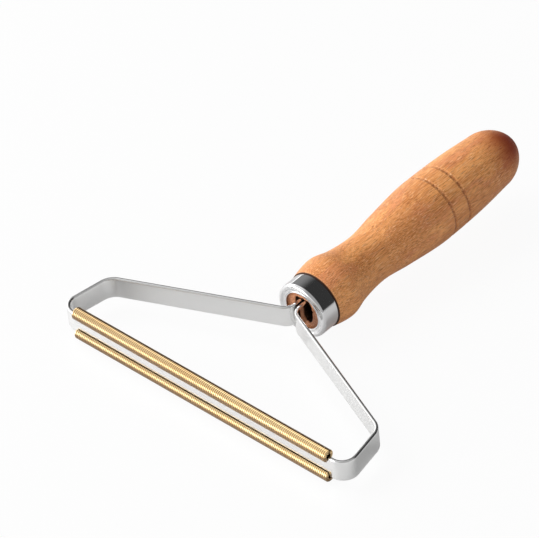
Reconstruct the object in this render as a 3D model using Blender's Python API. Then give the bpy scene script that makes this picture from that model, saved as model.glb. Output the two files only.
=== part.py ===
"""Lint brush: a turned beech handle with a plated ferrule, one bent steel strip and two ribbed brass sleeves.

The strip is a closed loop on edge. Its straight front bar carries the sleeves, which are slit tubes clipped
over the bar's upper and lower edges, and its two tails lie side by side in a mortise in the handle. Metres,
+Z up. +Y runs from the brass bar to the rounded end of the handle, and the origin is the middle of the
whole brush.
"""

import math

import bmesh
import bpy
from mathutils import Vector

# Clearance between pieces that touch.
SEAT_GAP = 0.0003

# Strip, bent on edge. Radii are of its middle line.
STRIP_WIDTH = 0.0090
STRIP_THICKNESS = 0.0014
STRIP_EDGE_ROUNDING = 0.00035
STRIP_EDGE_SEGMENTS = 2
STRIP_EDGE_ANGLE = math.radians(60.0)
FRAME_WIDTH = 0.1350
SHOULDER_DEPTH = 0.0212
SIDE_LEAN = math.radians(10.0)
LEG_SLOPE = math.radians(22.8)
FRONT_CORNER_RADIUS = 0.0052
REAR_CORNER_RADIUS = 0.0065
NECK_BEND_RADIUS = 0.0045
TAIL_SPACING = 0.0022
TAIL_LENGTH_IN_WOOD = 0.0180
BEND_STEP = math.radians(9.0)

# Brass sleeves, clipped over the two edges of the front bar.
SLEEVE_RADIUS = 0.0024
SLEEVE_WALL = 0.0013
SLEEVE_RISE = 0.0001
SLEEVE_END_MARGIN = 0.0017
RIB_PITCH = 0.0012
RIB_HEIGHT = 0.00018
SLEEVE_OUTER_FACETS = 10
SLEEVE_BORE_FACETS = 8

# Ferrule, a short cup with a wide round mouth.
FERRULE_RADIUS = 0.0110
FERRULE_LENGTH = 0.0076
FERRULE_WALL = 0.0008
FERRULE_MOUTH_RADIUS = 0.0075
FERRULE_ROUNDING = 0.0013
FERRULE_DISH = 0.0004
FERRULE_ROUND_STEPS = 5
NECK_TO_FERRULE = 0.0044

# Turned handle. Each distance is from the shoulder behind the ferrule, each radius is the wood's there.
COLLAR_RADIUS = 0.0114
COLLAR_FLARE = 1.5
BULGE_AT = 0.0080
BULGE_RADIUS = 0.0126
FALL_AT = 0.0152
FALL_RADIUS = 0.0110
WAIST_AT = 0.0272
WAIST_RADIUS = 0.0098
RISE_AT = 0.0402
RISE_RADIUS = 0.0113
BELLY_AT = 0.0600
BELLY_RADIUS = 0.0130
TAPER_AT = 0.0800
TAPER_RADIUS = 0.0125
END_AT = 0.0950
END_RADIUS = 0.0113
HANDLE_BODY_LENGTH = 0.1076
END_POINTEDNESS = 1.08
FIRST_GROOVE_AT = 0.0618
GROOVE_SPACING = 0.0080
GROOVE_WIDTH = 0.0012
GROOVE_DEPTH = 0.0004
GROOVE_SHARES = (-1.0, -0.55, 0.0, 0.55, 1.0)
TENON_CHAMFER = 0.0006
MORTISE_CORNER_RADIUS = 0.0022
MORTISE_CORNER_SEGMENTS = 5
ROUND_PROFILE = 0.5
MORTISE_EXTRA_DEPTH = 0.0010
MORTISE_SIDE_GAP = 0.0022
PROFILE_STEP = 0.0030
END_STEPS = 7
HANDLE_FACETS = 48
FERRULE_FACETS = 56
POLE_MERGE = 0.00001
SHARP_ANGLE = math.radians(35.0)

# Places along the brush, counted from the middle line of the front bar.
SLEEVE_HEIGHT = STRIP_WIDTH / 2 + SLEEVE_RISE
CORNER_CENTRE_X = FRAME_WIDTH / 2 - FRONT_CORNER_RADIUS - STRIP_THICKNESS / 2
SLEEVE_LENGTH = 2 * (CORNER_CENTRE_X - SLEEVE_END_MARGIN)
REAR_CORNER_X = (
    CORNER_CENTRE_X
    + FRONT_CORNER_RADIUS / math.cos(SIDE_LEAN)
    - (SHOULDER_DEPTH - FRONT_CORNER_RADIUS) * math.tan(SIDE_LEAN)
)
NECK_Y = SHOULDER_DEPTH + (REAR_CORNER_X - TAIL_SPACING / 2) * math.tan(LEG_SLOPE)
FERRULE_Y = NECK_Y + NECK_TO_FERRULE
TENON_FACE_Y = FERRULE_Y + FERRULE_DISH + FERRULE_WALL + SEAT_GAP
SHOULDER_Y = FERRULE_Y + FERRULE_LENGTH + SEAT_GAP
TIP_Y = SHOULDER_Y + HANDLE_BODY_LENGTH
MIDDLE_Y = (TIP_Y - SLEEVE_RADIUS) / 2

STEEL_COLOUR = (0.72, 0.72, 0.71, 1.0)
PLATED_COLOUR = (0.62, 0.62, 0.62, 1.0)
BRASS_COLOUR = (0.80, 0.55, 0.24, 1.0)
BEECH_COLOUR = (0.58, 0.31, 0.15, 1.0)


def clear_scene():
    for obj in list(bpy.data.objects):
        bpy.data.objects.remove(obj, do_unlink=True)


def principled(name, colour, roughness, metallic):
    material = bpy.data.materials.new(name)
    material.use_nodes = True
    shader = material.node_tree.nodes["Principled BSDF"]
    shader.inputs["Base Color"].default_value = colour
    shader.inputs["Roughness"].default_value = roughness
    shader.inputs["Metallic"].default_value = metallic
    return material


def mesh_object(name, bm, material, parent):
    bmesh.ops.recalc_face_normals(bm, faces=bm.faces)
    mesh = bpy.data.meshes.new(name)
    bm.to_mesh(mesh)
    bm.free()
    mesh.materials.append(material)
    mesh.shade_smooth()
    mesh.set_sharp_from_angle(angle=SHARP_ANGLE)
    obj = bpy.data.objects.new(name, mesh)
    bpy.context.scene.collection.objects.link(obj)
    obj.parent = parent
    return obj


def arc(centre, radius, start, end, steps):
    """Points of a circle about centre, from one angle to another, both ends included."""
    points = []
    for i in range(steps + 1):
        angle = start + (end - start) * i / steps
        points.append((centre[0] + radius * math.cos(angle), centre[1] + radius * math.sin(angle)))
    return points


def rounded_corner(before, corner, after, radius):
    """The arc that rounds one corner of a path, from tangent point to tangent point."""
    incoming = (corner - before).normalized()
    outgoing = (after - corner).normalized()
    turn = incoming.angle(outgoing)
    start = corner - incoming * radius * math.tan(turn / 2)
    inward = (outgoing - incoming * math.cos(turn)).normalized()
    steps = max(2, math.ceil(turn / BEND_STEP))
    points = []
    for i in range(steps + 1):
        angle = turn * i / steps
        points.append(start + incoming * radius * math.sin(angle) + inward * radius * (1 - math.cos(angle)))
    return points


def strip_path():
    """Middle line of the strip, from the end of the right tail round the loop to the end of the left tail."""
    tail_x = TAIL_SPACING / 2
    front_corner_x = CORNER_CENTRE_X + FRONT_CORNER_RADIUS * math.tan((math.pi / 2 + SIDE_LEAN) / 2)
    tail_end = Vector((tail_x, TENON_FACE_Y + TAIL_LENGTH_IN_WOOD))
    neck = Vector((tail_x, NECK_Y))
    rear = Vector((REAR_CORNER_X, SHOULDER_DEPTH))
    front = Vector((front_corner_x, 0.0))
    bar_middle = Vector((0.0, 0.0))
    half = [tail_end]
    half += rounded_corner(tail_end, neck, rear, NECK_BEND_RADIUS)
    half += rounded_corner(neck, rear, front, REAR_CORNER_RADIUS)
    half += rounded_corner(rear, front, bar_middle, FRONT_CORNER_RADIUS)
    return half + [Vector((-point.x, point.y)) for point in reversed(half)]


def frame_strip(material, parent):
    """The strip on edge: its path raised to the strip's width, thickened, and its long edges rounded."""
    bm = bmesh.new()
    path = strip_path()
    lower = [bm.verts.new((point.x, point.y, -STRIP_WIDTH / 2)) for point in path]
    upper = [bm.verts.new((point.x, point.y, STRIP_WIDTH / 2)) for point in path]
    for i in range(len(path) - 1):
        bm.faces.new((lower[i], lower[i + 1], upper[i + 1], upper[i]))
    obj = mesh_object("frame_strip", bm, material, parent)
    thickness = obj.modifiers.new("strip_thickness", "SOLIDIFY")
    thickness.thickness = STRIP_THICKNESS
    thickness.offset = 0.0
    thickness.use_even_offset = True
    rounding = obj.modifiers.new("rolled_edges", "BEVEL")
    rounding.width = STRIP_EDGE_ROUNDING
    rounding.segments = STRIP_EDGE_SEGMENTS
    rounding.limit_method = "ANGLE"
    rounding.angle_limit = STRIP_EDGE_ANGLE
    return obj


def sleeve_ring(bm, x, radius, bore):
    """One cross-section of a sleeve at x, open downwards: its outer arc and, where bore is set, its bore."""
    slit = STRIP_THICKNESS / 2 + SEAT_GAP
    outer_open = math.asin(slit / radius)
    down = -math.pi / 2
    outer = arc((0.0, 0.0), radius, down + outer_open, down + 2 * math.pi - outer_open, SLEEVE_OUTER_FACETS)
    rings = [[bm.verts.new((x, y, z)) for y, z in outer]]
    if bore:
        bore_radius = SLEEVE_RADIUS - SLEEVE_WALL
        bore_open = math.asin(slit / bore_radius)
        bore_end = down + 2 * math.pi - bore_open
        inner = arc((0.0, 0.0), bore_radius, down + bore_open, bore_end, SLEEVE_BORE_FACETS)
        rings.append([bm.verts.new((x, y, z)) for y, z in inner])
    return rings


def sleeve_mesh():
    """A slit tube along X. Its outside is ribbed, a crest and a root at each pitch, and its bore is plain."""
    bm = bmesh.new()
    ribs = max(2, round(SLEEVE_LENGTH / RIB_PITCH))
    stations = 2 * ribs + 1
    outers = []
    bores = []
    for i in range(stations):
        x = SLEEVE_LENGTH * (i / (stations - 1) - 0.5)
        radius = SLEEVE_RADIUS - RIB_HEIGHT * (1 - i % 2)
        rings = sleeve_ring(bm, x, radius, bore=i in (0, stations - 1))
        outers.append(rings[0])
        bores += rings[1:]
    for near, far in zip(outers, outers[1:]):
        for j in range(SLEEVE_OUTER_FACETS):
            bm.faces.new((near[j], far[j], far[j + 1], near[j + 1]))
    for j in range(SLEEVE_BORE_FACETS):
        bm.faces.new((bores[0][j], bores[0][j + 1], bores[1][j + 1], bores[1][j]))
    for lip in (0, -1):
        bm.faces.new([ring[lip] for ring in outers] + [bores[1][lip], bores[0][lip]])
    for end in (0, 1):
        bm.faces.new(outers[-end] + bores[end][::-1])
    return bm


def brass_sleeves(material, parent):
    """The upper sleeve opens downwards over the bar's top edge. The lower one is the same, turned over."""
    upper = mesh_object("upper_brass_sleeve", sleeve_mesh(), material, parent)
    upper.location = (0.0, 0.0, SLEEVE_HEIGHT)
    lower = bpy.data.objects.new("lower_brass_sleeve", upper.data)
    bpy.context.scene.collection.objects.link(lower)
    lower.parent = parent
    lower.location = (0.0, 0.0, -SLEEVE_HEIGHT)
    lower.rotation_euler = (math.pi, 0.0, 0.0)
    return upper, lower


def turned_object(name, profile, closed, facets, material, parent, y):
    """Turns a profile of (radius, distance) points about its axis, and lays the axis along +Y from y."""
    bm = bmesh.new()
    verts = [bm.verts.new((radius, 0.0, distance)) for radius, distance in profile]
    for first, second in zip(verts, verts[1:]):
        bm.edges.new((first, second))
    if closed:
        bm.edges.new((verts[-1], verts[0]))
    obj = mesh_object(name, bm, material, parent)
    turning = obj.modifiers.new("turning", "SCREW")
    turning.steps = facets
    turning.render_steps = facets
    turning.use_merge_vertices = True
    turning.merge_threshold = POLE_MERGE
    turning.use_smooth_shade = True
    obj.location = (0.0, y, 0.0)
    obj.rotation_euler = (-math.pi / 2, 0.0, 0.0)
    return obj


def ferrule(material, parent):
    """A cup whose front is rounded at its outer edge, dished a little, and open in a wide mouth."""
    lip_radius = FERRULE_WALL / 2
    rim_radius = FERRULE_MOUTH_RADIUS + lip_radius
    shoulder = (FERRULE_RADIUS - FERRULE_ROUNDING, FERRULE_ROUNDING)
    inner_radius = FERRULE_RADIUS - FERRULE_WALL
    profile = [(FERRULE_RADIUS, FERRULE_LENGTH)]
    profile += arc(shoulder, FERRULE_ROUNDING, 0.0, -math.pi / 2, FERRULE_ROUND_STEPS)
    lip_centre = (rim_radius, FERRULE_DISH + lip_radius)
    profile += arc(lip_centre, lip_radius, -math.pi / 2, -1.5 * math.pi, FERRULE_ROUND_STEPS)
    profile.append((inner_radius, FERRULE_DISH + FERRULE_WALL))
    profile.append((inner_radius, FERRULE_LENGTH))
    return turned_object("ferrule", profile, True, FERRULE_FACETS, material, parent, FERRULE_Y)


def wood_radius(distance):
    """Radius of the wood before grooves: a smooth curve through the named stations, level where it turns."""
    at = (0.0, BULGE_AT, FALL_AT, WAIST_AT, RISE_AT, BELLY_AT, TAPER_AT, END_AT)
    radii = (
        COLLAR_RADIUS,
        BULGE_RADIUS,
        FALL_RADIUS,
        WAIST_RADIUS,
        RISE_RADIUS,
        BELLY_RADIUS,
        TAPER_RADIUS,
        END_RADIUS,
    )
    spans = [b - a for a, b in zip(at, at[1:])]
    slopes = [(b - a) / span for a, b, span in zip(radii, radii[1:], spans)]
    tangents = [COLLAR_FLARE * slopes[0]]
    for i in range(1, len(spans)):
        before, after = slopes[i - 1], slopes[i]
        through = (before * spans[i] + after * spans[i - 1]) / (spans[i - 1] + spans[i])
        tangents.append(through if before * after > 0 else 0.0)
    tangents.append(slopes[-1])
    if distance >= at[-1]:
        return radii[-1] + tangents[-1] * (distance - at[-1])
    i = max(k for k in range(len(spans)) if at[k] <= distance)
    t = (distance - at[i]) / spans[i]
    start = (2 * t**3 - 3 * t**2 + 1) * radii[i] + (t**3 - 2 * t**2 + t) * spans[i] * tangents[i]
    end = (3 * t**2 - 2 * t**3) * radii[i + 1] + (t**3 - t**2) * spans[i] * tangents[i + 1]
    return start + end


def groove_points(groove_at):
    """A shallow round-bottomed groove, as (radius, distance) points from its front edge to its rear edge."""
    points = []
    for share in GROOVE_SHARES:
        distance = groove_at + share * GROOVE_WIDTH / 2
        points.append((wood_radius(distance) - GROOVE_DEPTH * (1 - share**2), distance))
    return points


def handle_profile():
    """Outline of the handle from its rounded end, over the belly and the waist, to the tenon's face."""
    tenon_radius = FERRULE_RADIUS - FERRULE_WALL - SEAT_GAP
    tenon_face = TENON_FACE_Y - SHOULDER_Y
    grooves = (FIRST_GROOVE_AT, FIRST_GROOVE_AT + GROOVE_SPACING)
    body = []
    for i in range(math.ceil(END_AT / PROFILE_STEP) + 1):
        distance = min(i * PROFILE_STEP, END_AT)
        if min(abs(distance - groove_at) for groove_at in grooves) > GROOVE_WIDTH:
            body.append((wood_radius(distance), distance))
    for groove_at in grooves:
        body += groove_points(groove_at)
    body.sort(key=lambda point: point[1])
    end = []
    for i in range(1, END_STEPS):
        angle = math.pi / 2 * i / END_STEPS
        distance = END_AT + (HANDLE_BODY_LENGTH - END_AT) * math.sin(angle)
        end.append((wood_radius(distance) * math.cos(angle) ** END_POINTEDNESS, distance))
    profile = [(0.0, HANDLE_BODY_LENGTH)] + (body + end)[::-1]
    profile.append((tenon_radius, 0.0))
    profile.append((tenon_radius, tenon_face + TENON_CHAMFER))
    profile.append((tenon_radius - TENON_CHAMFER, tenon_face))
    profile.append((0.0, tenon_face))
    return profile


def mortise_cutter(parent):
    """The slot that takes both tails: a seat gap over their edges, room beside them, and rounded corners."""
    width = TAIL_SPACING + STRIP_THICKNESS + 2 * MORTISE_SIDE_GAP
    height = STRIP_WIDTH + 2 * SEAT_GAP
    depth = TAIL_LENGTH_IN_WOOD + MORTISE_EXTRA_DEPTH
    lead = FERRULE_WALL
    bm = bmesh.new()
    bmesh.ops.create_cube(bm, size=1.0)
    bmesh.ops.scale(bm, vec=(width, depth + lead, height), verts=bm.verts)
    long_edges = [edge for edge in bm.edges if abs((edge.verts[0].co - edge.verts[1].co).y) > depth / 2]
    bmesh.ops.bevel(
        bm,
        geom=long_edges,
        offset=MORTISE_CORNER_RADIUS,
        segments=MORTISE_CORNER_SEGMENTS,
        profile=ROUND_PROFILE,
        affect="EDGES",
    )
    cutter = mesh_object("mortise_cutter", bm, principled("cutter", BEECH_COLOUR, 0.5, 0.0), parent)
    cutter.location = (0.0, TENON_FACE_Y + (depth - lead) / 2, 0.0)
    cutter.hide_render = True
    cutter.display_type = "WIRE"
    return cutter


def handle(material, parent):
    """The turned handle, with the mortise cut into the face of its tenon."""
    obj = turned_object("handle", handle_profile(), False, HANDLE_FACETS, material, parent, SHOULDER_Y)
    cut = obj.modifiers.new("mortise", "BOOLEAN")
    cut.operation = "DIFFERENCE"
    cut.solver = "EXACT"
    cut.object = mortise_cutter(parent)
    return obj


def build():
    clear_scene()
    brush = bpy.data.objects.new("lint_brush", None)
    bpy.context.scene.collection.objects.link(brush)
    brush.location = (0.0, -MIDDLE_Y, 0.0)
    frame_strip(principled("polished_steel", STEEL_COLOUR, 0.18, 1.0), brush)
    brass_sleeves(principled("ribbed_brass", BRASS_COLOUR, 0.30, 1.0), brush)
    ferrule(principled("plated_steel", PLATED_COLOUR, 0.12, 1.0), brush)
    handle(principled("oiled_beech", BEECH_COLOUR, 0.45, 0.0), brush)
    bpy.context.view_layer.update()


build()
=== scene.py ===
"""Looks of the lint brush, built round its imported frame.

Each solid gets a finer surface in its own place: the turned beech handle with its two scribed grooves
and its mortise, the plated ferrule, the strip bent on edge, and the two ribbed brass sleeves. A shape is
a grid of points worked out from a formula, and its finish reads object coordinates or attributes kept
with those points. Metres, +Z up. +Y runs along the handle and +X along the brass bar.
"""

import math

import bpy
import numpy as np
from mathutils import Matrix, Vector


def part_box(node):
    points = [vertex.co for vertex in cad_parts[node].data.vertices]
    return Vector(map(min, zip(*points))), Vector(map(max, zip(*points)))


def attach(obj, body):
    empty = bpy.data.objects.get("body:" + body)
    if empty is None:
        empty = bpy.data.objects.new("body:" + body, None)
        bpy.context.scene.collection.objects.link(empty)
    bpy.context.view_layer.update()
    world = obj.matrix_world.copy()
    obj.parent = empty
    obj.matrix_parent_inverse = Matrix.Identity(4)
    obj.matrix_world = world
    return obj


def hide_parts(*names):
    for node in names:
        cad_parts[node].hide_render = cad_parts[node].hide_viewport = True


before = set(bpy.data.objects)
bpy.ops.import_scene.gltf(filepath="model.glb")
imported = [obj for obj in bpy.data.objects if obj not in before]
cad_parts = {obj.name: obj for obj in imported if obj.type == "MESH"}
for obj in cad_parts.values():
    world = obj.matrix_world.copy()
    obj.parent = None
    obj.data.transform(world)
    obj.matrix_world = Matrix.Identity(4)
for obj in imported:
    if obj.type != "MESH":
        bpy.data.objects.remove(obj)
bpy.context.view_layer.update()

handle_low, handle_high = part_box("handle")
ferrule_low, ferrule_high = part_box("ferrule")
strip_low, strip_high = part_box("frame_strip")
sleeve_low, sleeve_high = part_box("upper_brass_sleeve")

# Clearance between pieces that touch, and one millimetre.
SEAT_GAP = 0.0003
MM = 0.001

# Steel strip, bent on edge. Radii are of its middle line.
STRIP_THICKNESS = 1.4 * MM
STRIP_EDGE_RADIUS = 0.56 * MM
STRIP_WIDTH = strip_high.z - strip_low.z
BAR_Y = strip_low.y + STRIP_THICKNESS / 2
FRAME_WIDTH = strip_high.x - strip_low.x
TAIL_END_Y = strip_high.y
SHOULDER_DEPTH = 21.2 * MM
SIDE_LEAN = math.radians(10.0)
LEG_SLOPE = math.radians(22.8)
FRONT_CORNER_RADIUS = 5.2 * MM
REAR_CORNER_RADIUS = 6.5 * MM
NECK_BEND_RADIUS = 4.5 * MM
TAIL_SPACING = 2.2 * MM
BEND_POINTS = 30
RUN_POINTS = 14
STRIP_EDGE_POINTS = 8

# Brass sleeves. A rib's phase is 0 at its root and 0.5 on its crest.
SLEEVE_RADIUS = (sleeve_high.y - sleeve_low.y) / 2
SLEEVE_AXIS_Z = sleeve_high.z - SLEEVE_RADIUS
SLEEVE_LENGTH = sleeve_high.x - sleeve_low.x
SLEEVE_WALL = 1.3 * MM
SLEEVE_END_ROUNDING = 0.35 * MM
SLEEVE_END_FADE = 0.4 * MM
RIB_PITCH = 0.8 * MM
RIB_DEPTH = 0.13 * MM
# Ribs lose this share of depth toward +X, and their dark roots fade with it: wear, and a painted
# brightening toward +X.
RIB_WEAR_AND_PAINTED_LIGHT = 0.40
RIB_PHASES = np.array((0.0, 0.12, 0.25, 0.38, 0.5, 0.62, 0.75, 0.88))
BORE_SHADE = 0.6
OUTER_POINTS = 34
INNER_POINTS = 12

# Ferrule. The fall is the length over which the front ring sinks to its recess.
FERRULE_COLUMNS = 240
FERRULE_RADIUS = ferrule_high.x
FERRULE_Y = ferrule_low.y
FERRULE_LENGTH = ferrule_high.y - ferrule_low.y
FERRULE_WALL = 0.8 * MM
FERRULE_MOUTH_RADIUS = 7.5 * MM
FERRULE_ROUNDING = 1.3 * MM
FERRULE_FILLET = 0.15 * MM
FERRULE_DISH = 0.4 * MM
FERRULE_RECESS = 0.75 * MM
FERRULE_FALL = 1.05 * MM

# Handle. Stations are distances behind the shoulder, which bears on the ferrule's rear edge.
HANDLE_COLUMNS = 360
RING_SPACING = 0.75 * MM
SHOULDER_Y = ferrule_high.y + SEAT_GAP
SHOULDER_ROUNDING = 0.3 * MM
# Wood this near the shoulder carries painted shade, where the joint with the ferrule lies.
PAINTED_SHADE_DEPTH = 0.2 * MM
HANDLE_LENGTH = handle_high.y - SHOULDER_Y
STATIONS = np.array((0.0, 8.0, 15.2, 27.2, 40.2, 60.0, 80.0, 95.0)) * MM
RADII = np.array((11.4, 12.6, 11.0, 9.8, 11.3, 13.0, 12.5, 11.3)) * MM
COLLAR_FLARE = 1.5
END_POINTEDNESS = 1.08
HAND_WAVER = 0.002

# The two turned grooves. Angles run from +X towards +Z, and a burr's place is in half widths of a groove.
GROOVES = np.array((61.8, 69.8)) * MM
GROOVE_WIDTH = 1.8 * MM
GROOVE_DEPTH = 0.38 * MM
GROOVE_DEEPEST_AT = math.radians(10.0)
BURR_HEIGHT = 0.05 * MM
BURR_PLACE = 0.60
BURR_SPREAD = 0.20
BURR_TALLEST_AT = math.radians(110.0)

# Tenon, which fills the ferrule, and the mortise in it for the strip's tails.
TENON_FACE = handle_low.y - SHOULDER_Y
TENON_RADIUS = FERRULE_RADIUS - FERRULE_WALL - SEAT_GAP
TENON_CHAMFER = 0.6 * MM
TENON_HOLLOW = 0.08 * MM
MORTISE_SIDE_ROOM = 2.2 * MM
MORTISE_WIDTH = TAIL_SPACING + STRIP_THICKNESS + 2 * MORTISE_SIDE_ROOM
MORTISE_HEIGHT = STRIP_WIDTH + 2 * SEAT_GAP
MORTISE_BACK = TAIL_END_Y + 1.0 * MM
MORTISE_SQUARENESS = 3.6
MORTISE_UNEVENNESS = 0.30
MORTISE_EDGE_BREAK = 0.25 * MM
MORTISE_WALL_START = 0.6 * MM

# Colours of the beech, as linear red, green and blue.
WOOD_DARK = (0.50, 0.168, 0.042, 1)
WOOD_LIGHT = (0.79, 0.338, 0.108, 1)
GROWTH_LINE = (0.50, 0.165, 0.048, 1)
PALE_FIBRE = (0.85, 0.42, 0.165, 1)
ROSY_PATCH = (0.60, 0.205, 0.095, 1)
DARK_PORE = (0.26, 0.080, 0.022, 1)
PALE_FLECK = (0.95, 0.62, 0.35, 1)
# Painted dark reflection on the upper right of the rounded end.
PAINTED_END_REFLECTION = (0.215, 0.017, 0.001, 1)
SCRIBED_WOOD = (0.30, 0.100, 0.032, 1)
# Torn fibres, pale mostly at the upper left: partly their own colour, partly a painted highlight.
TORN_FIBRE_AND_PAINTED_HIGHLIGHT = (1.0, 0.66, 0.38, 1)
END_GRAIN_DARK = (0.42, 0.12, 0.050, 1)
END_GRAIN_LIGHT = (0.78, 0.37, 0.20, 1)
# Painted shade for the joint with the ferrule and down the mortise.
PAINTED_JOINT_SHADE = (0.030, 0.012, 0.006, 1)

# Colours of the brass.
BRASS_CREST = (0.82, 0.62, 0.33, 1)
BRASS_TARNISH = (0.80, 0.55, 0.26, 1)
BRASS_WARM = (0.78, 0.50, 0.20, 1)
# Painted shade on the sleeves' lower side.
BRASS_PAINTED_UNDERSIDE_SHADE = (0.24, 0.148, 0.074, 1)
# Painted dark reflection along the sleeves' upper back.
BRASS_PAINTED_REAR_REFLECTION = (0.080, 0.040, 0.008, 1)
BRASS_ROOT = (0.13, 0.056, 0.015, 1)


def closed_surface(name, grid, sharp, poles=(), rows_meet=False, end_faces=False):
    """Quads over a grid of points whose columns run round and meet.

    Its first and last rows close with a fan to a pole each, with one flat face each, or meet one another.
    The faces are turned so that the volume they enclose, a sixth of the sum of a . (b x c), is above zero.
    Edges that bend by more than sharp, in degrees, are shaded sharp.
    """
    rows, columns = grid.shape[:2]
    points = grid.reshape(-1, 3)
    index = np.arange(rows * columns).reshape(rows, columns)
    near = index if rows_meet else index[:-1]
    far = np.roll(index, -1, axis=0) if rows_meet else index[1:]
    corners = (near, np.roll(near, -1, axis=1), np.roll(far, -1, axis=1), far)
    quads = np.stack(corners, axis=-1).reshape(-1, 4)
    fans = []
    for end, pole in zip((0, -1), poles):
        ring = index[end]
        tip = np.full(columns, len(points))
        fan = np.stack((tip, np.roll(ring, -1), ring), axis=-1)
        fans.append(fan if end == 0 else fan[:, ::-1])
        points = np.vstack((points, pole))
    lone = np.vstack(fans) if fans else np.empty((0, 3), int)
    triangles = np.vstack((quads[:, :3], quads[:, [0, 2, 3]], lone))
    a, b, c = (points[triangles[:, k]] - points.mean(axis=0) for k in range(3))
    turn = 1 if np.einsum("ij,ij->", a, np.cross(b, c)) > 0 else -1
    faces = quads[:, ::turn].tolist() + lone[:, ::turn].tolist()
    if end_faces:
        faces += [index[0][::-turn].tolist(), index[-1][::turn].tolist()]
    mesh = bpy.data.meshes.new(name)
    mesh.from_pydata(points, [], faces)
    mesh.shade_smooth()
    mesh.set_sharp_from_angle(angle=math.radians(sharp))
    piece = bpy.data.objects.new(name, mesh)
    bpy.context.scene.collection.objects.link(piece)
    return piece


def keep_attribute(piece, name, values):
    """Keeps one number with each point of a piece, for its finish to read. Poles take the last number."""
    missing = len(piece.data.vertices) - values.size
    numbers = np.concatenate((values.ravel(), np.full(missing, values.ravel()[-1])))
    attribute = piece.data.attributes.new(name, "FLOAT", "POINT")
    attribute.data.foreach_set("value", numbers.astype(np.float32))


def turned_grid(radius, distance, start_y, columns):
    """A profile turned about +Y: radius r at distance d goes to (r cos t, start + d, r sin t) at angle t.

    Radius and distance hold a number for each row, or one for each row and column.
    """
    angle = np.linspace(0.0, 2 * math.pi, columns, endpoint=False)
    radius = np.broadcast_to(np.asarray(radius).reshape(len(radius), -1), (len(radius), columns))
    distance = np.broadcast_to(np.asarray(distance).reshape(len(distance), -1), radius.shape)
    return np.stack((radius * np.cos(angle), start_y + distance, radius * np.sin(angle)), axis=-1)


def arc(centre, radius, start, end, count):
    """Points (across, along) of an arc about centre, from one angle to another."""
    angle = np.linspace(start, end, count)
    return np.stack((centre[0] + radius * np.cos(angle), centre[1] + radius * np.sin(angle)), axis=-1)


def wood_radius(distance):
    """Radius of the wood: cubic Hermite spans through the stations, level where the outline turns back.

    Beyond the last station it goes on along the last span's slope.
    """
    span = np.diff(STATIONS)
    slope = np.diff(RADII) / span
    through = (slope[:-1] * span[1:] + slope[1:] * span[:-1]) / (span[:-1] + span[1:])
    inner = np.where(slope[:-1] * slope[1:] > 0, through, 0.0)
    tangent = np.concatenate(((COLLAR_FLARE * slope[0],), inner, (slope[-1],)))
    i = np.clip(np.searchsorted(STATIONS, distance, side="right") - 1, 0, len(span) - 1)
    t = (distance - STATIONS[i]) / span[i]
    start = (2 * t**3 - 3 * t**2 + 1) * RADII[i] + (t**3 - 2 * t**2 + t) * span[i] * tangent[i]
    end = (3 * t**2 - 2 * t**3) * RADII[i + 1] + (t**3 - t**2) * span[i] * tangent[i + 1]
    beyond = RADII[-1] + tangent[-1] * (distance - STATIONS[-1])
    return np.where(distance > STATIONS[-1], beyond, start + end)


def ripple(angle, distance, seed, tightness, waves=9, pitch=4.0 * MM):
    """Smooth noise between -1 and 1 round and along the handle.

    It is the mean of sines of n t + w d / pitch + p, at angle t and distance d, where the whole number n of
    waves round the handle goes up to the tightness, and n, w and p are drawn for each sine.
    """
    draw = np.random.default_rng(seed)
    total = np.zeros(np.broadcast_shapes(angle.shape, distance.shape))
    for _ in range(waves):
        turns = round(draw.uniform(1.0, tightness))
        slant = draw.uniform(-1.0, 1.0)
        total = total + np.sin(turns * angle + distance / pitch * slant + draw.uniform(0.0, 6.283))
    return total / waves


def groove_marks(angle, distance):
    """Shares of the grooves' depth and of the burrs' height, at a column of distances and a row of angles.

    A groove is a rounded V, the power 0.8 of the way in from its edge, whose depth wanders round the handle
    and is least on the left. A burr is a bell curve beside the groove's middle, broken up into torn fibres
    by a close ripple, and the burrs stand mostly at the upper left.
    """
    away = np.abs(distance[:, :, None] - GROOVES) / (GROOVE_WIDTH / 2)
    wander = 0.70 + 0.35 * np.cos(angle - GROOVE_DEEPEST_AT) + 0.8 * ripple(angle, distance, 3, 48.0)
    groove = np.clip(1.0 - away, 0.0, 1.0).max(axis=2) ** 0.8 * np.clip(wander, 0.15, 1.4)
    fibres = np.clip(2.5 * ripple(angle, distance, 8, 90.0, waves=14, pitch=MM) - 0.1, 0.0, 1.0)
    burr = np.exp(-(((away.min(axis=2) - BURR_PLACE) / BURR_SPREAD) ** 2)) * fibres
    return groove, burr * np.clip(1.6 * np.cos(angle - BURR_TALLEST_AT) - 0.5, 0.06, 0.9)


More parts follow.
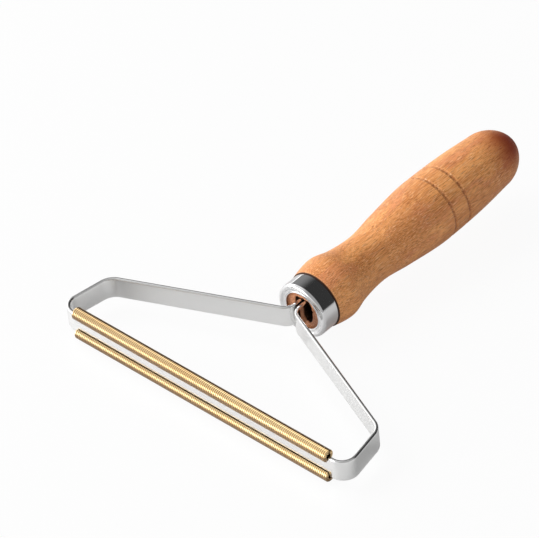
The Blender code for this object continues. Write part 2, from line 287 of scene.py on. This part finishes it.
def body_rings(angle):
    """Runs of rings from the rounded end to the shoulder.

    A run holds radii, distances, and the shares scribed, painted shade, torn and sawn. Behind the last
    station the radius falls as a power of the cosine. The body is uneven by a little, as a turner leaves
    it, and ends at the shoulder in a quarter circle.
    """
    end_at = STATIONS[-1]
    sweep = np.linspace(math.pi / 2, 0.0, 44)[1:-1, None]
    end = end_at + (HANDLE_LENGTH - end_at) * np.sin(sweep)
    end_radius = wood_radius(end) * np.cos(sweep) ** END_POINTEDNESS

    coarse = np.arange(end_at, 0.0, -RING_SPACING)
    close = (GROOVES[:, None] + np.linspace(-0.75, 0.75, 19) * GROOVE_WIDTH).ravel()
    corner = np.linspace(SHOULDER_ROUNDING / 6, SHOULDER_ROUNDING, 4)
    body = np.unique(np.round(np.concatenate((coarse, close, corner)), 7))[::-1, None]
    groove, burr = groove_marks(angle, body)
    into_corner = np.clip(SHOULDER_ROUNDING - body, 0.0, None) / SHOULDER_ROUNDING
    drawn_in = SHOULDER_ROUNDING * (1.0 - np.sqrt(np.clip(1.0 - into_corner**2, 0.0, 1.0)))
    waver = 1.0 + HAND_WAVER * ripple(angle, body, 5, 4.0, pitch=16 * MM) - HAND_WAVER
    radius = (wood_radius(body) - drawn_in) * waver - GROOVE_DEPTH * groove + BURR_HEIGHT * burr
    radius = np.minimum(radius, handle_high.z)
    # Rings this near the shoulder carry painted shade where the joint with the ferrule lies.
    return [
        (end_radius, end, 0, 0, 0, 0),
        (radius, body, np.clip(groove, 0, 1), body < PAINTED_SHADE_DEPTH, burr, 0),
    ]


def slot_radius(angle):
    """Distance from the axis to the mortise's outline, a superellipse as wide and high as the mortise.

    Its points (x, z) meet |x / half width| ** n + |z / half height| ** n = 1, with n the squareness.
    """
    across = np.abs(np.cos(angle)) * 2 / MORTISE_WIDTH
    up = np.abs(np.sin(angle)) * 2 / MORTISE_HEIGHT
    return (across**MORTISE_SQUARENESS + up**MORTISE_SQUARENESS) ** (-1 / MORTISE_SQUARENESS)


def tenon_rings(angle):
    """Runs of rings from the shoulder over the tenon to the mortise's floor, which hold what the body's do.

    The tenon's face goes ring by ring from its circle to the mortise's uneven outline, and hollows a
    little on the way. A quarter circle breaks the edge, and the walls follow the outline down.
    """
    rim = TENON_RADIUS - TENON_CHAMFER
    uneven = np.clip(ripple(angle, 0 * angle, 13, 14.0), 0.0, 1.0)
    slot = slot_radius(angle) * (1.0 + MORTISE_UNEVENNESS * uneven)
    share = np.linspace(0.0, 1.0, 9)[1:, None]
    face_radius = rim * (1 - share) + (slot + MORTISE_EDGE_BREAK) * share
    face = TENON_FACE + TENON_HOLLOW * share * (1 + ripple(angle, 0 * share, 11, 9.0))
    turn = np.linspace(0.0, math.pi / 2, 5)[1:, None]
    edge_radius = slot + MORTISE_EDGE_BREAK * (1 - np.sin(turn))
    edge = face[-1] + MORTISE_EDGE_BREAK * (1 - np.cos(turn))
    floor = MORTISE_BACK - SHOULDER_Y
    walls = np.linspace(TENON_FACE + MORTISE_WALL_START, floor, 7)[:, None]
    shoulder_radius = np.array(((RADII[0] - SHOULDER_ROUNDING,), (TENON_RADIUS,)))
    tenon_radius = np.array(((TENON_RADIUS,), (rim,)))
    tenon = np.array(((TENON_FACE + TENON_CHAMFER,), (TENON_FACE,)))
    # The fourth share is painted shade: on the shoulder, down the mortise's walls and on its floor.
    return [
        (shoulder_radius, 0.0, 0, 1, 0, 1),
        (tenon_radius, tenon, 0, 0, 0, 1),
        (face_radius, face, 0, 0, 0, 1),
        (edge_radius, edge, 0, 0, 0, 1),
        (slot, walls, 0, 1, 0, 1),
        (slot * 0.5, floor, 0, 1, 0, 1),
    ]


def turned_handle():
    """The handle from its rounded end to the mortise's floor, as one unbroken run of rings."""
    angle = np.linspace(0.0, 2 * math.pi, HANDLE_COLUMNS, endpoint=False)[None, :]
    runs = body_rings(angle) + tenon_rings(angle)
    spread = [np.broadcast_arrays(*run, angle)[:-1] for run in runs]
    radius, distance, *marks = (np.vstack(parts) for parts in zip(*spread))
    grid = turned_grid(radius, distance, SHOULDER_Y, HANDLE_COLUMNS)
    poles = ((0.0, handle_high.y, 0.0), (0.0, MORTISE_BACK, 0.0))
    piece = closed_surface("turned_handle", grid, 60.0, poles=poles)
    for name, values in zip(("scribed", "painted_shade", "torn", "sawn"), marks):
        keep_attribute(piece, name, values)
    return piece


def plated_ferrule():
    """A closed profile turned about +Y: outer side, round front, dished ring, round lip, and the bore.

    The ring sinks to its recess along a smooth step, s s (3 - 2 s) at share s of the fall, and rises to
    the lip over its last part.
    """
    inner = FERRULE_RADIUS - FERRULE_WALL
    lip = FERRULE_WALL / 2
    lip_at = FERRULE_MOUTH_RADIUS + lip
    front = FERRULE_RADIUS - FERRULE_ROUNDING
    rear = FERRULE_LENGTH - FERRULE_FILLET
    side = np.linspace(rear, FERRULE_ROUNDING, 14)[1:-1]
    share = np.linspace(0.0, 1.0, 24)[1:-1]
    fall = np.clip(share * (front - lip_at) / FERRULE_FALL, 0.0, 1.0)
    sunk = FERRULE_RECESS * fall**2 * (3 - 2 * fall)
    rise = (FERRULE_RECESS - FERRULE_DISH) * np.clip((share - 0.84) / 0.15, 0.0, 1.0)
    behind_lip = FERRULE_DISH + FERRULE_WALL
    profile = np.vstack((
        arc((FERRULE_RADIUS - FERRULE_FILLET, rear), FERRULE_FILLET, math.pi / 2, 0.0, 5),
        np.column_stack((np.full(len(side), FERRULE_RADIUS), side)),
        arc((front, FERRULE_ROUNDING), FERRULE_ROUNDING, 0.0, -math.pi / 2, 14),
        np.column_stack((front + (lip_at - front) * share, sunk - rise)),
        arc((lip_at, FERRULE_DISH + lip), lip, -math.pi / 2, -1.5 * math.pi, 14),
        ((inner - FERRULE_FILLET, behind_lip), (inner, behind_lip + FERRULE_FILLET)),
        ((inner, FERRULE_LENGTH),),
    ))
    grid = turned_grid(profile[:, 0], profile[:, 1], FERRULE_Y, FERRULE_COLUMNS)
    return closed_surface("plated_ferrule", grid, 50.0, rows_meet=True)


def rounded_path(corners, radii):
    """Points and headings along straight runs whose corners are rounded, with no point given twice.

    Where the heading h turns by a, an arc of radius r starts r tan(a / 2) before the corner, and its
    point at share t stands r away from the arc's centre, square to the heading h + t a.
    """
    legs = np.diff(corners, axis=0)
    heading = np.arctan2(legs[:, 1], legs[:, 0])
    points, headings, here = [], [], corners[0]
    for i, radius in enumerate(radii):
        turn = (heading[i + 1] - heading[i] + math.pi) % (2 * math.pi) - math.pi
        along = np.array((math.cos(heading[i]), math.sin(heading[i])))
        side = np.array((-along[1], along[0])) * math.copysign(radius, turn)
        start = corners[i + 1] - along * radius * math.tan(abs(turn) / 2)
        share = np.linspace(0.0, 1.0, RUN_POINTS, endpoint=False)[min(i, 1):, None]
        points.append(here + (start - here) * share)
        headings.append(np.full(len(share), heading[i]))
        swing = heading[i] + turn * np.linspace(0.0, 1.0, BEND_POINTS)
        square = np.stack((-np.sin(swing), np.cos(swing)), axis=-1) * math.copysign(radius, turn)
        points.append(start + side - square)
        headings.append(swing)
        here = points[-1][-1]
    share = np.linspace(0.0, 1.0, RUN_POINTS)[1:, None]
    points.append(here + (corners[-1] - here) * share)
    headings.append(np.full(len(share), heading[-1]))
    return np.vstack(points), np.concatenate(headings)


def strip_corners():
    """Corners of the strip's middle line, from the right tail's end round the loop to the left one's."""
    tail = TAIL_SPACING / 2
    centre_x = FRAME_WIDTH / 2 - FRONT_CORNER_RADIUS - STRIP_THICKNESS / 2
    lean = (SHOULDER_DEPTH - FRONT_CORNER_RADIUS) * math.tan(SIDE_LEAN)
    rear_x = centre_x + FRONT_CORNER_RADIUS / math.cos(SIDE_LEAN) - lean
    front_x = centre_x + FRONT_CORNER_RADIUS * math.tan((math.pi / 2 + SIDE_LEAN) / 2)
    rear_y = BAR_Y + SHOULDER_DEPTH
    neck_y = rear_y + (rear_x - tail) * math.tan(LEG_SLOPE)
    right = np.array(((tail, TAIL_END_Y), (tail, neck_y), (rear_x, rear_y), (front_x, BAR_Y)))
    return np.vstack((right, right[::-1] * (-1, 1)))


def bent_strip():
    """The strip's section, a rectangle with round corners, carried along the rounded path.

    A section point (across, up) stands across the path, square to its heading, and up by its own height.
    The length run along the path is kept for the finish.
    """
    radii = (NECK_BEND_RADIUS, REAR_CORNER_RADIUS, FRONT_CORNER_RADIUS)
    path, heading = rounded_path(strip_corners(), radii + radii[::-1])
    across = STRIP_THICKNESS / 2 - STRIP_EDGE_RADIUS
    up = STRIP_WIDTH / 2 - STRIP_EDGE_RADIUS
    quarter = math.pi / 2
    section = []
    for i, (x, z) in enumerate(((across, up), (-across, up), (-across, -up), (across, -up))):
        section.append(arc((x, z), STRIP_EDGE_RADIUS, i * quarter, (i + 1) * quarter, STRIP_EDGE_POINTS))
        if i % 2:
            rise = np.linspace(z, -z, STRIP_EDGE_POINTS)[1:-1]
            face = np.full(len(rise), math.copysign(STRIP_THICKNESS / 2, x))
            section.append(np.column_stack((face, rise)))
    section = np.vstack(section)
    square = np.stack((-np.sin(heading), np.cos(heading)), axis=-1)
    flat = path[:, None, :] + square[:, None, :] * section[None, :, :1]
    height = np.broadcast_to(section[None, :, 1:], flat.shape[:2] + (1,))
    grid = np.concatenate((flat, height), axis=-1)
    poles = [np.append(path[end], 0.0) for end in (0, -1)]
    piece = closed_surface("bent_steel_strip", grid, 50.0, poles=poles)
    run = np.concatenate(((0.0,), np.cumsum(np.hypot(*np.diff(path, axis=0).T))))
    keep_attribute(piece, "run", np.repeat(run, len(section)))
    return piece


def ribbed_sleeve(name, side, seed):
    """A slit tube along X, over the bar's upper edge where side is 1, under its lower edge where it is -1.

    At phase p of a rib the outer radius is less by the rib depth times the square of (1 + cos 2 pi p) / 2,
    and by each rib's own share of that. The ribs fade out at both ends, which are rounded by a quarter
    circle, and lose depth evenly toward +X; their dark roots fade the same way, a painted brightening
    toward +X. The slit's two faces stand a clearance off the strip.

    Kept for the finish are how near a root each point is, with a shade of its own in the bore, how far it
    faces up and back, and a tone for each rib.
    """
    draw = np.random.default_rng(seed)
    count = round(SLEEVE_LENGTH / RIB_PITCH)
    rows = len(RIB_PHASES)
    phase = np.append(np.tile(RIB_PHASES, count), 0.0)
    x = np.append((np.repeat(np.arange(count), rows) + phase[:-1]) / count, 1.0) * SLEEVE_LENGTH
    depth_share = np.append(np.repeat(draw.uniform(0.75, 1.0, count), rows), 1.0)
    tone = np.append(np.repeat(draw.uniform(0.0, 1.0, count), rows), 0.5)

    to_end = np.minimum(x, SLEEVE_LENGTH - x)
    faded = np.clip(to_end / SLEEVE_END_FADE, 0.0, 1.0)
    root = (0.5 + 0.5 * np.cos(2 * math.pi * phase)) ** 2.0 * faded
    # Less depth and lighter roots toward +X: wear, and a painted brightening toward +X.
    root = root * (1.0 - RIB_WEAR_AND_PAINTED_LIGHT * x / SLEEVE_LENGTH)
    short = np.clip(1.0 - to_end / SLEEVE_END_ROUNDING, 0.0, 1.0)
    drawn_in = SLEEVE_END_ROUNDING * (1.0 - np.sqrt(1.0 - short**2))
    radius = SLEEVE_RADIUS - RIB_DEPTH * root * depth_share - drawn_in
    bore = SLEEVE_RADIUS - SLEEVE_WALL

    slit = STRIP_THICKNESS / 2 + SEAT_GAP
    outer_open = np.arcsin(slit / radius)[:, None]
    outer = outer_open + (2 * math.pi - 2 * outer_open) * np.linspace(0.0, 1.0, OUTER_POINTS)
    inner_open = math.asin(slit / bore)
    inner = inner_open + (2 * math.pi - 2 * inner_open) * np.linspace(1.0, 0.0, INNER_POINTS)
    angle = np.hstack((outer, np.broadcast_to(inner, (len(x), INNER_POINTS))))
    outside = np.arange(OUTER_POINTS + INNER_POINTS) < OUTER_POINTS
    reach = np.where(outside, radius[:, None], bore)
    across = np.broadcast_to((x - SLEEVE_LENGTH / 2)[:, None], angle.shape)
    along = BAR_Y + reach * np.sin(angle)
    height = side * (SLEEVE_AXIS_Z - reach * np.cos(angle))
    piece = closed_surface(name, np.stack((across, along, height), axis=-1), 75.0, end_faces=True)
    keep_attribute(piece, "root", np.where(outside, root[:, None], BORE_SHADE * faded[:, None]))
    keep_attribute(piece, "facing_up", np.clip(-side * np.cos(angle), 0.0, 1.0))
    keep_attribute(piece, "facing_back", np.clip(np.sin(angle), 0.0, 1.0))
    keep_attribute(piece, "rib_tone", np.repeat(tone, angle.shape[1]))
    return piece


def add_node(tree, kind, inputs=None, **settings):
    """Adds a shader node, gives it its settings, and sets or links each input named."""
    node = tree.nodes.new(kind)
    for name, value in settings.items():
        setattr(node, name, value)
    for name, value in (inputs or {}).items():
        if isinstance(value, bpy.types.NodeSocket):
            tree.links.new(value, node.inputs[name])
        else:
            node.inputs[name].default_value = value
    return node


def new_finish(name, values):
    """A new material with its node tree and its principled shader, whose inputs named in values are set."""
    material = bpy.data.materials.new(name)
    material.use_nodes = True
    shader = material.node_tree.nodes["Principled BSDF"]
    for socket, value in values.items():
        shader.inputs[socket].default_value = value
    return material, material.node_tree, shader


def object_coords(tree):
    return add_node(tree, "ShaderNodeTexCoord").outputs["Object"]


def read_attribute(tree, name):
    return add_node(tree, "ShaderNodeAttribute", attribute_name=name).outputs["Fac"]


def stretched_noise(tree, coords, per_mm, detail, roughness=0.55, distortion=0.0, shift=0.0):
    """Noise of so many cells a millimetre along each axis."""
    placing = {"Vector": coords, "Scale": [n / MM for n in per_mm], "Location": (shift, shift, shift)}
    scaled = add_node(tree, "ShaderNodeMapping", placing)
    settings = {"Vector": scaled.outputs[0], "Scale": 1.0, "Detail": detail, "Roughness": roughness}
    return add_node(tree, "ShaderNodeTexNoise", settings | {"Distortion": distortion}).outputs["Fac"]


def remap(tree, value, low, high, to_low=0.0, to_high=1.0):
    """Carries a value from low..high to to_low..to_high along a smooth step, and holds it beyond."""
    inputs = {"Value": value, "From Min": low, "From Max": high, "To Min": to_low, "To Max": to_high}
    return add_node(tree, "ShaderNodeMapRange", inputs, interpolation_type="SMOOTHSTEP").outputs["Result"]


def maths(tree, operation, first, second):
    return add_node(tree, "ShaderNodeMath", {0: first, 1: second}, operation=operation).outputs[0]


def product(tree, first, second):
    return maths(tree, "MULTIPLY", first, second)


def blended(tree, share, first, second):
    """Mixes two colours by a share. Inputs 6 and 7 and output 2 are the node's colour sockets."""
    return add_node(tree, "ShaderNodeMix", {0: share, 6: first, 7: second}, data_type="RGBA").outputs[2]


def veiled(tree, colour, value, low, high, most, veil):
    """Lays a veil over a colour, by a share that rises to most as a value goes from low to high."""
    return blended(tree, remap(tree, value, low, high, 0.0, most), colour, veil)


def raised(tree, shader, height, distance, strength):
    """Bumps a shader's surface by a height."""
    bump = add_node(tree, "ShaderNodeBump", {"Height": height, "Distance": distance, "Strength": strength})
    tree.links.new(bump.outputs["Normal"], shader.inputs["Normal"])


def oiled_beech():
    """Beech, oiled to a satin.

    Broad tone, growth lines and pale fibres along the handle, rosy patches, short dark pores and pale
    flecks. The rounded end is dull on its upper right, where a dark reflection is painted on. Then what the
    attributes tell: scribed grooves, torn fibres beside them whose pale colour is partly a painted
    highlight, sawn end grain, and painted shade in the joint and in the mortise.
    """
    values = {"Specular IOR Level": 0.3, "Coat Weight": 0.05, "Coat Roughness": 0.3}
    material, tree, shader = new_finish("oiled_beech", values)
    coords = object_coords(tree)
    broad = stretched_noise(tree, coords, (0.10, 0.022, 0.10), 3.0, distortion=0.4)
    colour = veiled(tree, WOOD_DARK, broad, 0.35, 0.65, 1.0, WOOD_LIGHT)
    growth = stretched_noise(tree, coords, (0.9, 0.03, 0.35), 2.0, distortion=0.6, shift=3.0)
    colour = veiled(tree, colour, growth, 0.42, 0.62, 0.5, GROWTH_LINE)
    fibre = stretched_noise(tree, coords, (4.2, 0.13, 4.2), 4.0, roughness=0.6, shift=7.0)
    colour = veiled(tree, colour, fibre, 0.40, 0.60, 0.60, PALE_FIBRE)
    blush = stretched_noise(tree, coords, (0.14, 0.045, 0.14), 2.0, distortion=0.3, shift=43.0)
    colour = veiled(tree, colour, blush, 0.50, 0.66, 0.5, ROSY_PATCH)
    pores = stretched_noise(tree, coords, (5.2, 0.24, 5.2), 1.0, shift=11.0)
    pores = remap(tree, pores, 0.48, 0.70, 0.0, 0.70)
    colour = blended(tree, pores, colour, DARK_PORE)
    flecks = stretched_noise(tree, coords, (4.2, 0.24, 4.2), 1.0, shift=19.0)
    colour = veiled(tree, colour, flecks, 0.60, 0.70, 0.45, PALE_FLECK)

    # The upper right of the rounded end gets a painted dark reflection, and is duller there.
    place = add_node(tree, "ShaderNodeSeparateXYZ", {"Vector": coords})
    tip = remap(tree, place.outputs["Y"], handle_high.y - 24 * MM, handle_high.y - 6 * MM)
    upper = remap(tree, place.outputs["Z"], -2 * MM, 7 * MM, 0.15, 1.0)
    right = remap(tree, place.outputs["X"], -5 * MM, 4 * MM, 0.35, 0.95)
    painted_end_reflection = product(tree, tip, product(tree, upper, right))
    colour = blended(tree, painted_end_reflection, colour, PAINTED_END_REFLECTION)

    broken = stretched_noise(tree, coords, (2.4, 1.6, 2.4), 2.0, shift=29.0)
    scribed = product(tree, read_attribute(tree, "scribed"), remap(tree, broken, 0.35, 0.6, 0.35, 1.0))
    colour = blended(tree, scribed, colour, SCRIBED_WOOD)
    # Pale torn fibres beside the grooves, partly a painted highlight on the upper left.
    colour = blended(tree, read_attribute(tree, "torn"), colour, TORN_FIBRE_AND_PAINTED_HIGHLIGHT)
    fuzz = stretched_noise(tree, coords, (2.2, 2.2, 2.2), 3.0, shift=37.0)
    end_grain = veiled(tree, END_GRAIN_DARK, fuzz, 0.35, 0.65, 1.0, END_GRAIN_LIGHT)
    colour = blended(tree, product(tree, read_attribute(tree, "sawn"), 0.8), colour, end_grain)
    # Painted shade in the joint with the ferrule and down the mortise.
    colour = blended(tree, product(tree, read_attribute(tree, "painted_shade"), 0.95), colour, PAINTED_JOINT_SHADE)
    tree.links.new(colour, shader.inputs["Base Color"])

    dulled = maths(tree, "ADD", remap(tree, fibre, 0.35, 0.65, 0.40, 0.55), product(tree, painted_end_reflection, 0.35))
    tree.links.new(dulled, shader.inputs["Roughness"])
    raised(tree, shader, maths(tree, "SUBTRACT", product(tree, fibre, 0.6), pores), 0.06 * MM, 0.7)
    return material


def bright_plating():
    """Bright plating with faint rings from polishing on the lathe."""
    values = {"Base Color": (0.76, 0.76, 0.765, 1), "Metallic": 1.0, "Roughness": 0.07}
    material, tree, shader = new_finish("bright_plating", values)
    rings = stretched_noise(tree, object_coords(tree), (0.05, 9.0, 0.05), 3.0)
    raised(tree, shader, rings, 0.004 * MM, 0.4)
    return material


def polished_strip():
    """Cold-rolled steel: faint lines along the strip and a soft waver in its faces."""
    values = {"Base Color": (0.80, 0.80, 0.795, 1), "Metallic": 1.0, "Roughness": 0.17}
    material, tree, shader = new_finish("polished_strip", values)
    coords = object_coords(tree)
    up = add_node(tree, "ShaderNodeSeparateXYZ", {"Vector": coords}).outputs["Z"]
    along = add_node(tree, "ShaderNodeCombineXYZ", {"X": read_attribute(tree, "run"), "Z": up})
    lines = stretched_noise(tree, along.outputs[0], (0.02, 1.0, 5.0), 2.0)
    waver = stretched_noise(tree, coords, (0.05, 0.05, 0.05), 1.0, shift=2.0)
    height = maths(tree, "ADD", product(tree, lines, 0.04), product(tree, waver, 5.0))
    raised(tree, shader, height, 0.02 * MM, 0.5)
    return material


def ribbed_brass():
    """Brass with bright crests and dark roots, each rib a little unlike the next.

    The lower side is painted brown as shade, though less so at the back, and a painted dark reflection
    runs as a line along the back of the crown.
    """
    material, tree, shader = new_finish("ribbed_brass", {"Metallic": 0.66, "Roughness": 0.11})
    tarnish = stretched_noise(tree, object_coords(tree), (0.06, 0.4, 0.4), 2.0)
    colour = veiled(tree, BRASS_CREST, tarnish, 0.35, 0.68, 1.0, BRASS_TARNISH)
    colour = blended(tree, product(tree, read_attribute(tree, "rib_tone"), 0.3), colour, BRASS_WARM)
    up, back = read_attribute(tree, "facing_up"), read_attribute(tree, "facing_back")
    # Painted shade: the more a point faces down, the browner, less so at the back.
    brown = product(tree, remap(tree, up, 0.24, 0.46, 0.90, 0.0), remap(tree, back, 0.1, 0.5, 1.0, 0.35))
    colour = blended(tree, brown, colour, BRASS_PAINTED_UNDERSIDE_SHADE)
    # Painted dark reflection: a dark line where the sleeve faces up and back.
    rear = product(tree, remap(tree, back, 0.14, 0.30, 0.0, 0.95), remap(tree, up, 0.60, 0.80))
    colour = blended(tree, rear, colour, BRASS_PAINTED_REAR_REFLECTION)
    colour = veiled(tree, colour, read_attribute(tree, "root"), 0.06, 0.66, 0.98, BRASS_ROOT)
    tree.links.new(colour, shader.inputs["Base Color"])
    return material


def dress(piece, material, slot, *nodes):
    """Gives a piece its finish and its place in the frame, and hides the solids that it stands for."""
    piece.data.materials.append(material)
    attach(piece, "root")
    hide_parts(*nodes)


def resting_slope():
    """Slope and height of the plane that the brush lies on, under the lower sleeve and the belly.

    A plane z = c - m y touches the sleeve, of radius r round (y, z), from below where c is
    z + m y - r sqrt(1 + m m), and the handle where c is the least m y - radius along it. The slope m
    sought makes both the same.
    """
    slopes = np.linspace(0.0, 0.15, 301)
    sleeve = -SLEEVE_AXIS_Z + slopes * BAR_Y - SLEEVE_RADIUS * np.sqrt(1 + slopes**2)
    distance = np.linspace(0.0, STATIONS[-1], 400)
    handle = (slopes[:, None] * (SHOULDER_Y + distance) - wood_radius(distance)).min(axis=1)
    slope = float(np.interp(0.0, handle - sleeve, slopes))
    return slope, float(np.interp(slope, slopes, handle))


def pale_floor():
    """A wide flat floor that the brush rests on, of matt paper with a soft sheen.

    The camera sees it with a 94 per cent share of white, and polished faces with one of 15 per cent.
    """
    slope, height = resting_slope()
    reach = 3.0
    ends = np.array(((-reach, -reach), (reach, -reach), (reach, reach), (-reach, reach)))
    mesh = bpy.data.meshes.new("pale_floor")
    mesh.from_pydata(np.column_stack((ends, height - slope * ends[:, 1])), [], [(0, 1, 2, 3)])
    floor = bpy.data.objects.new("pale_floor", mesh)
    bpy.context.scene.collection.objects.link(floor)

    material = bpy.data.materials.new("pale_floor")
    material.use_nodes = True
    tree = material.node_tree
    tree.nodes.clear()
    path = add_node(tree, "ShaderNodeLightPath").outputs
    matt = add_node(tree, "ShaderNodeBsdfDiffuse", {"Color": (0.78, 0.78, 0.78, 1)})
    sheen = add_node(tree, "ShaderNodeBsdfAnisotropic", {"Color": (0.95, 0.95, 0.95, 1), "Roughness": 0.35})
    paper = add_node(tree, "ShaderNodeMixShader", {0: 0.35, 1: matt.outputs[0], 2: sheen.outputs[0]})
    white = add_node(tree, "ShaderNodeEmission", {"Color": (1, 1, 1, 1), "Strength": 1.0})
    mirrored = maths(tree, "MAXIMUM", path["Is Glossy Ray"], path["Is Transmission Ray"])
    mirrored = product(tree, mirrored, 0.15)
    seen = maths(tree, "MAXIMUM", product(tree, path["Is Camera Ray"], 0.94), mirrored)
    mixed = add_node(tree, "ShaderNodeMixShader", {0: seen, 1: paper.outputs[0], 2: white.outputs[0]})
    output = add_node(tree, "ShaderNodeOutputMaterial", {"Surface": mixed.outputs[0]})
    output.is_active_output = True
    mesh.materials.append(material)


def area_lamp(name, place, width, height, power):
    """A rectangular lamp, which shines along its own -Z."""
    lamp = bpy.data.lights.new(name, "AREA")
    lamp.shape = "RECTANGLE"
    lamp.size, lamp.size_y = width, height
    lamp.energy = power
    holder = bpy.data.objects.new(name, lamp)
    holder.location = place
    bpy.context.scene.collection.objects.link(holder)
    return holder


def softbox(name, place, power):
    """A soft lamp turned to the brush, which no polished face shows."""
    holder = area_lamp(name, place, 0.6, 0.6, power)
    holder.rotation_euler = (-Vector(place)).to_track_quat("-Z", "Y").to_euler()
    holder.visible_glossy = False


def striplight():
    """A long narrow lamp over the bar and parallel to it, which lights the brass sleeves alone."""
    holder = area_lamp("long_striplight", (-0.082, -0.018, 0.109), 0.28, 0.06, 0.10)
    holder.rotation_euler = (math.radians(-38.0), 0.0, 0.0)
    holder.visible_camera = False
    lit = bpy.data.collections.new("lit_by_striplight")
    for name in ("upper_ribbed_sleeve", "lower_ribbed_sleeve"):
        lit.objects.link(bpy.data.objects[name])
    holder.light_linking.receiver_collection = lit


def studio():
    """The surroundings, two soft lamps and the striplight.

    Level of the surroundings along a direction (x, y, z): bright on the left and dim on the right, with a
    band in front and a very bright patch just above the horizon at its left, evened out overhead, and
    dark behind above the horizon. The camera sees plain white.
    """
    world = bpy.data.worlds.new("studio")
    bpy.context.scene.world = world
    world.use_nodes = True
    tree = world.node_tree
    tree.nodes.clear()
    way = add_node(tree, "ShaderNodeTexCoord").outputs["Generated"]
    x, y, z = add_node(tree, "ShaderNodeSeparateXYZ", {"Vector": way}).outputs
    sides = remap(tree, x, -0.70, 0.30, 2.0, 0.5)
    front = product(tree, remap(tree, y, -0.60, -0.35, 1.0, 0.0), remap(tree, x, -0.30, 0.50, 1.2, 0.6))
    patch = product(tree, remap(tree, y, -0.72, -0.62, 5.0, 0.0), remap(tree, x, -0.35, -0.10, 1.0, 0.0))
    patch = product(tree, patch, remap(tree, z, 0.03, 0.10))
    around = maths(tree, "ADD", maths(tree, "MAXIMUM", sides, front), patch)
    overhead = remap(tree, x, -0.55, 0.0, 1.0, 0.42)
    lit = blended(tree, remap(tree, z, 0.42, 0.60), around, overhead)
    behind = product(tree, remap(tree, y, 0.40, 0.48), remap(tree, z, -0.01, 0.03))
    behind = product(tree, behind, remap(tree, x, -0.98, -0.88))
    level = blended(tree, behind, lit, remap(tree, x, -0.85, -0.25, 0.28, 0.04))
    camera_ray = add_node(tree, "ShaderNodeLightPath").outputs["Is Camera Ray"]
    seen = maths(tree, "MAXIMUM", camera_ray, level)
    background = add_node(tree, "ShaderNodeBackground", {"Color": (1, 1, 1, 1), "Strength": seen})
    add_node(tree, "ShaderNodeOutputWorld", {"Surface": background.outputs[0]})
    softbox("key_softbox", (-0.75, -0.25, 0.75), 9.5)
    softbox("fill_softbox", (0.8, -0.1, 0.4), 1.4)
    striplight()


def photo_camera():
    """A long lens at the photograph's viewing angle, 47 degrees round from the front and 41 degrees up."""
    turn, rise, roll = math.radians(46.501), math.radians(41.307), math.radians(-6.409)
    distance = 1.46778
    aim = Vector((-0.016416, -0.027765, 0.009511))
    back = Vector((math.sin(turn) * math.cos(rise), -math.cos(turn) * math.cos(rise), math.sin(rise)))
    level = Vector((math.cos(turn), math.sin(turn), 0.0))
    lift = back.cross(level)
    right = math.cos(roll) * level + math.sin(roll) * lift
    up = back.cross(right)
    lens = bpy.data.cameras.new("photo_camera")
    lens.sensor_width = 36.0
    lens.lens = 276.972
    holder = bpy.data.objects.new("photo_camera", lens)
    axes = Matrix((right, up, back)).transposed().to_4x4()
    holder.matrix_world = Matrix.Translation(aim + back * distance) @ axes
    bpy.context.scene.collection.objects.link(holder)
    bpy.context.scene.camera = holder


brass = ribbed_brass()
dress(turned_handle(), oiled_beech(), "oiled_beech", "handle")
dress(plated_ferrule(), bright_plating(), "plated_steel", "ferrule")
dress(bent_strip(), polished_strip(), "polished_steel", "frame_strip")
dress(ribbed_sleeve("upper_ribbed_sleeve", 1, 21), brass, "ribbed_brass", "upper_brass_sleeve")
dress(ribbed_sleeve("lower_ribbed_sleeve", -1, 22), brass, "ribbed_brass", "lower_brass_sleeve")
pale_floor()
studio()
photo_camera()
bpy.context.scene.view_settings.view_transform = "Standard"
